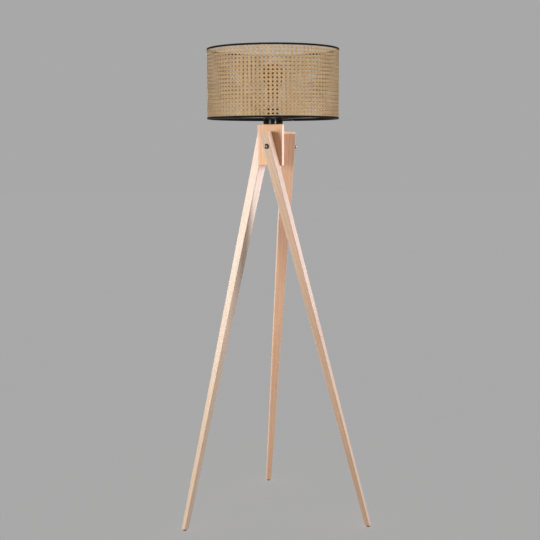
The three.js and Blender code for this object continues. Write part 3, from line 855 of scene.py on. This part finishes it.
STEM_TOP = 1441.0
stem_line = [
    (0, 1308), (9.3, 1308), (9.6, 1309), (8.6, 1311), (6.4, 1316), (5.4, 1320), (4.8, 1332), (4.2, 1345), (3.0, 1350.5),
    (1.9, 1353.5), (1.5, 1357), (1.5, STEM_TOP - 5), (2.1, STEM_TOP - 3.6), (2.4, STEM_TOP - 2), (2.0, STEM_TOP - 0.7),
    (1.1, STEM_TOP), (0, STEM_TOP),
]
stem = mesh_object("bulb_glass_stem", *lathe(stem_line, 32, closed=False), sharp=60)
place(stem, "bulb", CLEAR, "bulb_stem", slot="clear_glass", at=ON_AXIS)


def polar(r, deg, z):
    return Vector((r * math.cos(math.radians(deg)), r * math.sin(math.radians(deg)), z)) * MM


wires = []
for k in range(5):
    wires.append(tube([polar(1.6, 72 * k, STEM_TOP - 2.2), polar(6, 72 * k, STEM_TOP - 1.6), polar(12.0, 72 * k, STEM_TOP - 2.2)], 0.2 * MM, 6))
    wires.append(tube([polar(2.4, 72 * k + 36, 1350), polar(5, 72 * k + 36, 1349.4), polar(9.0, 72 * k + 36, 1349)], 0.2 * MM, 6))
zig = []
for k in range(5):
    zig += [polar(12.3, 72 * k, STEM_TOP - 2.4), polar(9.3, 72 * k + 36, 1349.2)]
run = []
for i, (a, b) in enumerate(zip(zig, zig[1:])):
    for t in (0.0, 0.04, 0.5, 0.96):
        run.append(a.lerp(b, t) + Vector((0, 0, 0)))
run.append(zig[-1])
wires.append(tube(run, 0.42 * MM, 8))
fil = mesh_object("bulb_filament_wires", *join_parts(wires), sharp=70)
place(fil, "bulb", FILAMENT, "bulb_filament", slot="filament", at=ON_AXIS)

# ----------------------------------------------------------------------- shade
COLS, FIRST_HOLE, ROW, PHASE = 100, 1300.0, 11.87, math.radians(-0.25)
R_MID = 208.25
Z_LO, Z_HI = SHADE_BOT + 1.3, SHADE_TOP - 1.3
PITCH_U = 2 * math.pi * R_MID / COLS
rng = np.random.RandomState(7)


def wall(u, v, h):
    """Column and row to a place on the drum, h millimetres outside the middle of the webbing."""
    a = PHASE + 2 * math.pi * u / COLS
    r = (R_MID + h) * MM
    return np.stack([r * np.sin(a), -r * np.cos(a), (FIRST_HOLE + ROW * v) * MM], axis=-1)


SECTION_W = np.array([-0.5, -0.27, 0.27, 0.5, 0.0])
SECTION_H = np.array([-0.12, 0.42, 0.42, -0.12, -0.48])
# how far round the strand each of the five sides lies on its texture strip
SIDE_V = [0.02, 0.20, 0.60, 0.80, 0.90, 0.99]


def strands(name, runs, width, thick, closed, chunks, cols, rows):
    """runs: (u, v, h, tone) arrays, one per strand. All the strands of one direction make one piece."""
    all_v, all_f, all_c, tones, uvs = [], [], [], [], []
    base = 0
    cell = 0
    for index, (u, v, h, tone) in enumerate(runs):
        n = len(u)
        mid = wall(u, v, h)
        nxt = np.roll(mid, -1, 0)
        prv = np.roll(mid, 1, 0)
        if not closed:
            nxt[-1] = mid[-1]
            prv[0] = mid[0]
        t = nxt - prv
        t /= np.linalg.norm(t, axis=1, keepdims=True)
        a = PHASE + 2 * math.pi * u / COLS
        out = np.stack([np.sin(a), -np.cos(a), np.zeros(n)], axis=-1)
        w = np.cross(out, t)
        w /= np.linalg.norm(w, axis=1, keepdims=True)
        nor = np.cross(t, w)
        wob = width * (1 + 0.05 * np.sin(0.9 * np.arange(n) / 5 + 17.3 * index))
        ring = (
            mid[:, None, :]
            + w[:, None, :] * (SECTION_W[None, :, None] * wob[:, None, None] * MM)
            + nor[:, None, :] * (SECTION_H[None, :, None] * thick * MM)
        )
        all_v.append(ring.reshape(-1, 3))
        tones.append(np.full(n * 5, tone))
        step = np.linalg.norm(np.diff(np.vstack([mid, mid[:1]]), axis=0), axis=1)
        along = np.concatenate([[0], np.cumsum(step)])
        m = n if closed else n - 1
        i = np.arange(m)[:, None]
        j = (np.arange(m)[:, None] + 1) % n
        k = np.arange(5)[None, :]
        q = (np.arange(5)[None, :] + 1) % 5
        quads = np.stack([base + i * 5 + k, base + i * 5 + q, base + j * 5 + q, base + j * 5 + k], axis=-1).reshape(-1, 4)
        all_f.append(quads)
        va = np.broadcast_to(np.array(SIDE_V[:5])[None, :], (m, 5))
        vb = np.broadcast_to(np.array(SIDE_V[1:])[None, :], (m, 5))
        la = np.broadcast_to(along[:m, None], (m, 5))
        lb = np.broadcast_to(along[1 : m + 1, None], (m, 5))
        seed = np.full((m, 5), 7.0 * index + 0.5)
        corner = np.stack(
            [np.stack([la, va, seed], -1), np.stack([la, vb, seed], -1), np.stack([lb, vb, seed], -1), np.stack([lb, va, seed], -1)],
            axis=2,
        ).reshape(-1, 3)
        all_c.append(corner)
        # texture strips: each chunk of the strand fills one cell of a grid
        edge = np.linspace(0, m, chunks + 1).astype(int)
        for c in range(chunks):
            s0, s1 = edge[c], edge[c + 1]
            cx, cy = cell % cols, cell // cols
            cell += 1
            x0, x1 = (cx + 0.004) / cols, (cx + 0.996) / cols
            y0, y1 = (cy + 0.06) / rows, (cy + 0.94) / rows
            ta = np.broadcast_to((np.arange(s1 - s0) / (s1 - s0))[:, None], (s1 - s0, 5))
            tb = np.broadcast_to(((np.arange(s1 - s0) + 1) / (s1 - s0))[:, None], (s1 - s0, 5))
            aa, bb = va[: s1 - s0], vb[: s1 - s0]
            uv = np.stack([np.stack([ta, aa], -1), np.stack([ta, bb], -1), np.stack([tb, bb], -1), np.stack([tb, aa], -1)], axis=2)
            uv = uv.reshape(-1, 2) * [x1 - x0, y1 - y0] + [x0, y0]
            uvs.append(uv)
        base += n * 5
    verts = np.concatenate(all_v)
    quads = np.concatenate(all_f)
    corner = np.concatenate(all_c)
    uv = np.concatenate(uvs)
    caps = []
    if not closed:
        start = 0
        for u, v, h, tone in runs:
            n = len(u)
            caps.append([start + 4, start + 3, start + 2, start + 1, start])
            last = start + (n - 1) * 5
            caps.append([last + x for x in range(5)])
            start += n * 5
    loops = np.concatenate([quads.ravel(), np.array(caps, dtype=int).ravel()]) if caps else quads.ravel()
    nq, nc = len(quads), len(caps)
    starts = np.concatenate([np.arange(nq) * 4, nq * 4 + np.arange(nc) * 5])
    me = bpy.data.meshes.new(name)
    me.vertices.add(len(verts))
    me.vertices.foreach_set("co", verts.astype(np.float32).ravel())
    me.loops.add(len(loops))
    me.loops.foreach_set("vertex_index", loops.astype(np.int32))
    me.polygons.add(nq + nc)
    me.polygons.foreach_set("loop_start", starts.astype(np.int32))
    me.update(calc_edges=True)
    me.validate()
    pad = np.zeros((nc * 5, 3))
    if nc:
        pad[:] = corner[0]
    att = me.attributes.new("cane", "FLOAT_VECTOR", "CORNER")
    att.data.foreach_set("vector", np.concatenate([corner, pad]).astype(np.float32).ravel())
    att = me.attributes.new("tone", "FLOAT", "POINT")
    att.data.foreach_set("value", np.concatenate(tones).astype(np.float32))
    layer = me.uv_layers.new(name="OFBake")
    padded = np.concatenate([uv, np.tile([[0.001, 0.001]], (nc * 5, 1))]) if nc else uv
    layer.uv.foreach_set("vector", padded.astype(np.float32).ravel())
    me.shade_smooth()
    me.update()
    ob = bpy.data.objects.new(name, me)
    bpy.context.scene.collection.objects.link(ob)
    return ob


def row_of(z):
    return (z - FIRST_HOLE) / ROW


V_LO, V_HI = row_of(Z_LO), row_of(Z_HI)
V_OFF, H_OFF, V_WIDE, H_WIDE, D_WIDE, THICK = 1.45, 1.37, 2.12, 2.0, 2.36, 0.42
LAYER, CROSS = 0.45, 0.24

# upright strands, in pairs
upright = []
for i in range(COLS):
    lean, sway = rng.uniform(-0.16, 0.16), rng.uniform(0, 6.28)
    for sgn in (-1, 1):
        vs, hs = [V_LO], [0.0]
        for j in range(-2, 19):
            c = j + 0.5
            for off, lev in ((-0.5, 0.0), (-0.32, 0.0), (-H_OFF / ROW, sgn), (0.0, 0.0), (H_OFF / ROW, -sgn), (0.32, 0.0)):
                x = c + off
                if off == -0.5:
                    continue
                if V_LO + 0.05 < x < V_HI - 0.05:
                    vs.append(x)
                    hs.append(lev * CROSS)
        vs.append(V_HI)
        hs.append(0.0)
        vs, hs = np.array(vs), np.array(hs)
        drift = lean + 0.12 * np.sin(vs * 0.7 + sway) + 0.03 * np.sin(vs * 1.3 + rng.uniform(0, 6.28))
        us = np.full(len(vs), i + 0.5) + (sgn * V_OFF + drift) / PITCH_U
        upright.append((us, vs, hs, rng.uniform(0.6, 1.4)))
w1 = strands("cane_uprights", upright, V_WIDE, THICK, False, 1, 2, 100)
place(w1, "shade", CANE, "shade_panel", slot="cane", at=ON_AXIS)

# level strands, in pairs, right round
level = []
for j in range(-1, 19):
    k1, k2, sway = rng.randint(2, 6), rng.randint(7, 15), rng.uniform(0, 6)
    for sgn in (-1, 1):
        z = FIRST_HOLE + ROW * (j + 0.5) + sgn * H_OFF
        if not (Z_LO + 1.2 < z < Z_HI - 0.9):
            continue
        us, hs = [], []
        for i in range(COLS):
            c = i + 0.5
            for off, lev in ((-0.34, 0.0), (-V_OFF / PITCH_U, sgn), (0.0, 0.0), (V_OFF / PITCH_U, -sgn), (0.34, 0.0)):
                us.append(c + off)
                hs.append(lev * CROSS)
        us, hs = np.array(us), np.array(hs)
        drift = 0.1 * np.sin(2 * math.pi * k1 * us / COLS + sway) + 0.07 * np.sin(2 * math.pi * k2 * us / COLS)
        drift = drift + 0.03 * np.sin(2 * math.pi * 5 * us / COLS + rng.uniform(0, 6))
        vs = np.full(len(us), row_of(z)) + drift / ROW
        level.append((us, vs, hs, rng.uniform(0.6, 1.4)))
w2 = strands("cane_levels", level, H_WIDE, THICK, True, 6, 2, 111)
place(w2, "shade", CANE, "shade_panel", slot="cane", at=ON_AXIS)

# slanting strands: one set passes outside the uprights, the other outside the levels
for name, slope in (("cane_slants_right", 1), ("cane_slants_left", -1)):
    runs = []
    for k in range(COLS):
        x = np.arange(math.floor((V_LO - 1) * 6), math.ceil((V_HI + 1) * 6) + 1) / 6.0
        vs = x[(x > V_LO + 0.04) & (x < V_HI - 0.04)]
        vs = np.concatenate([[V_LO + 0.03], vs, [V_HI - 0.03]])
        us = slope * vs + k + 0.5
        wave = np.clip(1.5 * np.cos(2 * math.pi * (us - 0.5)), -1, 1)
        hs = LAYER * wave * (1 if slope > 0 else -1)
        drift = 0.1 * np.sin(vs * 0.5 + rng.uniform(0, 6.28)) + rng.uniform(-0.08, 0.08)
        runs.append((us + drift / PITCH_U, vs, hs, rng.uniform(-0.45, 0.35)))
    w = strands(name, runs, D_WIDE, THICK, False, 1, 1, 100)
    place(w, "shade", CANE, "shade_panel", slot="cane", at=ON_AXIS)


# trim tapes, folded over each edge
def tape(name, edge, up, inside, node):
    n = 400
    out_r, in_r, t = SHADE_R - 0.05, 202.25, 0.6
    verts, faces, attr = [], [], []
    for k in range(n):
        a = 2 * math.pi * k / n
        lap = max(0.0, 1 - abs(((a - SEAM + math.pi) % (2 * math.pi)) - math.pi) * SHADE_R / 7.0)
        lap = min(lap * 6, 1.0)
        hem = TAPE_H + 0.14 * math.sin(9 * a + 1.0) + 0.08 * math.sin(23 * a) + 0.25 * lap
        hem_in = inside + 0.18 * math.sin(7 * a + 2.0)
        rise = 0.06 * math.sin(13 * a) + 0.05 * math.sin(31 * a + 2)
        ro = out_r - 0.18 + 0.1 * math.sin(11 * a + 0.5) * 0.5 + 0.05 * lap
        line = [
            (ro - t, hem - 0.1), (ro - 0.2, hem), (ro, hem - 0.22), (ro, 2.0), (ro, 1.1), (ro - 0.25, 0.45),
            (ro - 0.8, 0.08 + rise * 0.3), (ro - 1.8, 0.02), (in_r + 1.8, 0.02), (in_r + 0.8, 0.1), (in_r + 0.25, 0.45),
            (in_r, 1.1),
        ]
        line += [(in_r, hem_in - 0.2), (in_r + 0.2, hem_in), (in_r + t, hem_in - 0.1)]
        line += [(in_r + t, 1.3), (in_r + t + 0.5, 0.75), (ro - t - 0.5, 0.75), (ro - t, 1.3)]
        for r, h in line:
            verts.append(Vector((r * math.cos(a), r * math.sin(a), edge + up * h)) * MM)
        m = len(line)
    for k in range(n):
        q = (k + 1) % n
        for i in range(m):
            j = (i + 1) % m
            faces.append([k * m + i, k * m + j, q * m + j, q * m + i])
            attr.append((k, i))
    ob = mesh_object(name, verts, faces, sharp=70)
    me = ob.data
    att = me.attributes.new("tape", "FLOAT_VECTOR", "POINT")
    vals = []
    for k in range(n):
        for i in range(m):
            vals += [SHADE_R * MM * 2 * math.pi * min(k, n - k) / n, 0.0006 * i, 0.0]
    att.data.foreach_set("vector", vals)
    return place(ob, "shade", TAPE, node, slot="black_tape", at=ON_AXIS)


tape("top_tape", SHADE_TOP, -1, TAPE_HEM_IN["top"], "trim_tape_top")
tape("bottom_tape", SHADE_BOT, 1, TAPE_HEM_IN["bottom"], "trim_tape_bottom")

RING_R = 205.2


def circle(r, z, n):
    return [polar(r, 360 * k / n, z) for k in range(n)]


ring_z = SHADE_BOT + 3.0
top_ring = mesh_object("top_ring_wire", *tube(circle(RING_R, SHADE_TOP - 3.0, 180), 2.0 * MM, 10, closed=True), sharp=70)
place(top_ring, "shade", WIRE_BLACK, "shade_top_wire", slot="black_wire", at=ON_AXIS)

parts = [tube(circle(RING_R, ring_z, 180), 2.0 * MM, 10, closed=True)]
plate = fillet([(20.5, 1289.0), (32.0, 1289.0), (32.0, 1290.6), (20.5, 1290.6)], 0.5, 2)
parts.append(lathe(plate, 96))
for a in (HUB_TURN + 60, HUB_TURN + 180, HUB_TURN + 300):
    arm = [polar(r, a, ring_z) for r in (30.4, 60, 100, 150, 203.4)]
    parts.append(tube(arm, 1.95 * MM, 14))
    # weld beads at both ends
    for r, rr in ((31.6, 2.2), (203.2, 2.3)):
        bead = lathe([(0, -rr * 0.9)] + [(rr * math.cos(x), rr * 0.9 * math.sin(x)) for x in (-1.0, -0.5, 0, 0.5, 1.0)] + [(0, rr * 0.9)], 12, closed=False)
        parts.append(moved(bead, Matrix.Translation(polar(r, a, ring_z - (0.2 if r < 100 else 0)))))
spider = mesh_object("shade_carrier", *join_parts(parts), sharp=60)
place(spider, "shade", WIRE_BLACK, "shade_spider_frame", slot="black_wire", at=ON_AXIS)

# strip behind the seam of the webbing
seam_r = 207.15
cols, rows_n = 7, 40
sv, sf = [], []
for layer, r in enumerate((seam_r, seam_r - 0.85)):
    for i in range(rows_n + 1):
        for j in range(cols + 1):
            x = (j / cols - 0.5) * 0.066
            dome = 0.25 * (1 - (2 * j / cols - 1) ** 2) if layer else 0.0
            z = SHADE_BOT + TAPE_H + 3.5 + (SHADE_TOP - SHADE_BOT - 2 * TAPE_H - 7) * i / rows_n
            a = SEAM + x
            sv.append(Vector(((r + dome) * math.cos(a), (r + dome) * math.sin(a), z)) * MM)
row = cols + 1
grid = row * (rows_n + 1)
for i in range(rows_n):
    for j in range(cols):
        q = [i * row + j, i * row + j + 1, (i + 1) * row + j + 1, (i + 1) * row + j]
        sf.append(q)
        sf.append([grid + x for x in reversed(q)])
border = (
    [j for j in range(cols)] + [i * row + cols for i in range(rows_n)]
    + [rows_n * row + j for j in range(cols, 0, -1)] + [i * row for i in range(rows_n, 0, -1)]
)
for i, b in enumerate(border):
    c = border[(i + 1) % len(border)]
    sf.append([b, b + grid, c + grid, c])
strip = mesh_object("seam_strip_flat", sv, sf, sharp=50)
att = strip.data.attributes.new("cane", "FLOAT_VECTOR", "POINT")
att.data.foreach_set("vector", [x for v in sv for x in (v.z, (v.x + v.y) * 60, 3.0)])
att = strip.data.attributes.new("tone", "FLOAT", "POINT")
att.data.foreach_set("value", [0.4] * len(sv))
place(strip, "shade", CANE, "seam_strip", slot="cane", at=ON_AXIS)

# -------------------------------------------- CAD pieces that keep their shape
FINISH = {
    "cable_tube": ZINC, "lampholder_cap": SATIN_BLACK, "holder_insert": CERAMIC, "centre_contact": BRASS,
    "bulb_insulator": CERAMIC, "bulb_contact": BRASS, "thread_insert_right": ZINC, "thread_insert_rear": ZINC,
    "thread_insert_left": ZINC,
}
for name, mat in FINISH.items():
    ob = NODES[name]
    if not ob.material_slots:
        ob.data.materials.append(mat)
    for sl in ob.material_slots:
        sl.link = "OBJECT"
        sl.material = mat

# ----------------------------------------------------------- floor and lights
GROUPS = {n: bpy.data.collections.new(n) for n in ("stand_lit", "shade_lit", "cup_lit", "bulb_lit")}
stand_lit, shade_lit, cup_lit, bulb_lit = GROUPS.values()
for group in GROUPS.values():
    bpy.context.scene.collection.children.link(group)
for ob in list(bpy.context.scene.objects):
    if ob.type == "MESH":
        body = (body_of(ob) or ["shade"])[0]
        group = bulb_lit if body == "bulb" else shade_lit if body in ("shade", "ring_nut") else stand_lit
        if ob.name == "cover_cup_shell":
            group = cup_lit
        if ob.name == "lampholder_skirt_shell":
            group = bulb_lit
        group.objects.link(ob)

BACK = 0.392
floor_part = lathe([(0, 0), (600, 0), (2000, 0), (6000, 0), (30000, 0)], 96, closed=False)
floor_ob = mesh_object("floor", *floor_part, sharp=0)
floor_ob.location.z = -0.0005
fs = Shade("pale_floor")
cl = fs.noise(fs.coords(), 3.0, 3, 0.5)
c = fs.ramp(cl, "Fac", [(0.3, (0.395, 0.395, 0.395)), (0.7, (0.405, 0.405, 0.405))])
fs.link(c, "Color", fs.bsdf, "Base Color")
AMBIENT = 0.12
GLOW = BACK - 0.4 * AMBIENT
fs.set(Roughness=0.9, Specular_IOR_Level=0.1, Emission_Color=(GLOW, GLOW, GLOW, 1), Emission_Strength=1.0)
floor_ob.data.materials.append(fs.mat)

# a plain backdrop all round, which shows but lights nothing
dome_part = lathe([(0, 29000), (6000, 28300), (15000, 24800), (24000, 16300), (28500, 5000), (29000, -400), (24000, -9000), (0, -12000)], 48, closed=False)
dome = mesh_object("backdrop", *dome_part, sharp=0)
ds = Shade("backdrop")
ds.set(Base_Color=(0, 0, 0, 1), Roughness=1.0, Specular_IOR_Level=0.0, Emission_Color=(BACK, BACK, BACK, 1), Emission_Strength=1.0)
dome.data.materials.append(ds.mat)
dome.visible_diffuse = dome.visible_glossy = dome.visible_shadow = False

world = bpy.data.worlds.new("studio")
bpy.context.scene.world = world
world.use_nodes = True
world.node_tree.nodes["Background"].inputs["Color"].default_value = (AMBIENT, AMBIENT, AMBIENT, 1)
world.node_tree.nodes["Background"].inputs["Strength"].default_value = 1.0


def area(name, group, azimuth, elevation, distance, size, power, colour=(1, 1, 1), aim=0.95):
    """A soft box seen from the lamp at that azimuth, 0 towards the viewer and positive to the right."""
    data = bpy.data.lights.new(name, "AREA")
    data.shape = "RECTANGLE"
    data.size, data.size_y = size
    data.energy = power
    data.color = colour
    ob = bpy.data.objects.new(name, data)
    bpy.context.scene.collection.objects.link(ob)
    a, e = math.radians(azimuth), math.radians(elevation)
    target = AXIS + Vector((0, 0, aim))
    at = target + Vector((math.sin(a) * math.cos(e), -math.cos(a) * math.cos(e), math.sin(e))) * distance
    ob.matrix_world = Matrix.Translation(at) @ (target - at).to_track_quat("-Z", "Y").to_matrix().to_4x4()
    ob.visible_camera = False
    ob.light_linking.receiver_collection = group
    if group is stand_lit:
        ob.light_linking.blocker_collection = group
    return ob


area("stand_left_rear", stand_lit, -111, 8, 4.0, (1.2, 2.0), 66, (0.96, 1.02, 1.12), aim=1.15)
area("stand_left_back", stand_lit, -147, 8, 2.6, (0.8, 1.2), 11, (0.88, 1.0, 1.15), aim=1.0)
area("stand_left", stand_lit, -55, 8, 2.6, (0.8, 1.1), 48, (1.0, 0.975, 0.92), aim=0.85)
area("stand_right", stand_lit, 77, 8, 2.4, (0.42, 1.1), 34, (0.99, 0.99, 1.09), aim=1.0)
area("stand_right_side", stand_lit, 103, 8, 2.4, (0.4, 1.1), 19, (0.85, 1.02, 1.3), aim=1.2)
area("stand_right_rear", stand_lit, 124, 8, 2.6, (0.8, 1.2), 12, (0.85, 1.02, 1.35), aim=1.1)
area("stand_back", stand_lit, 180, 10, 3.0, (1.0, 1.4), 23)
area("stand_top", stand_lit, 150, 70, 2.6, (1.2, 1.2), 52)
area("cup_left", cup_lit, -37, 8, 2.6, (0.45, 1.2), 34, aim=1.28)
area("cup_right", cup_lit, 29, 8, 2.6, (0.45, 1.2), 48, aim=1.28)
area("bulb_box", bulb_lit, 24, 14, 2.6, (0.3, 0.4), 5, aim=1.4)
area("shade_front", shade_lit, 6, -12, 2.6, (1.2, 1.1), 75, aim=1.4)
area("shade_left", shade_lit, -70, 0, 2.6, (0.8, 0.8), 29, aim=1.4)
area("shade_right", shade_lit, 80, 0, 2.6, (0.8, 0.8), 16, aim=1.4)
area("shade_back", shade_lit, 190, 0, 2.8, (1.2, 1.2), 52, aim=1.4)

scene = bpy.context.scene
scene.view_settings.view_transform = "Standard"
scene.view_settings.look = "None"
scene.cycles.use_denoising = True
scene.cycles.max_bounces = 10
scene.cycles.transparent_max_bounces = 16
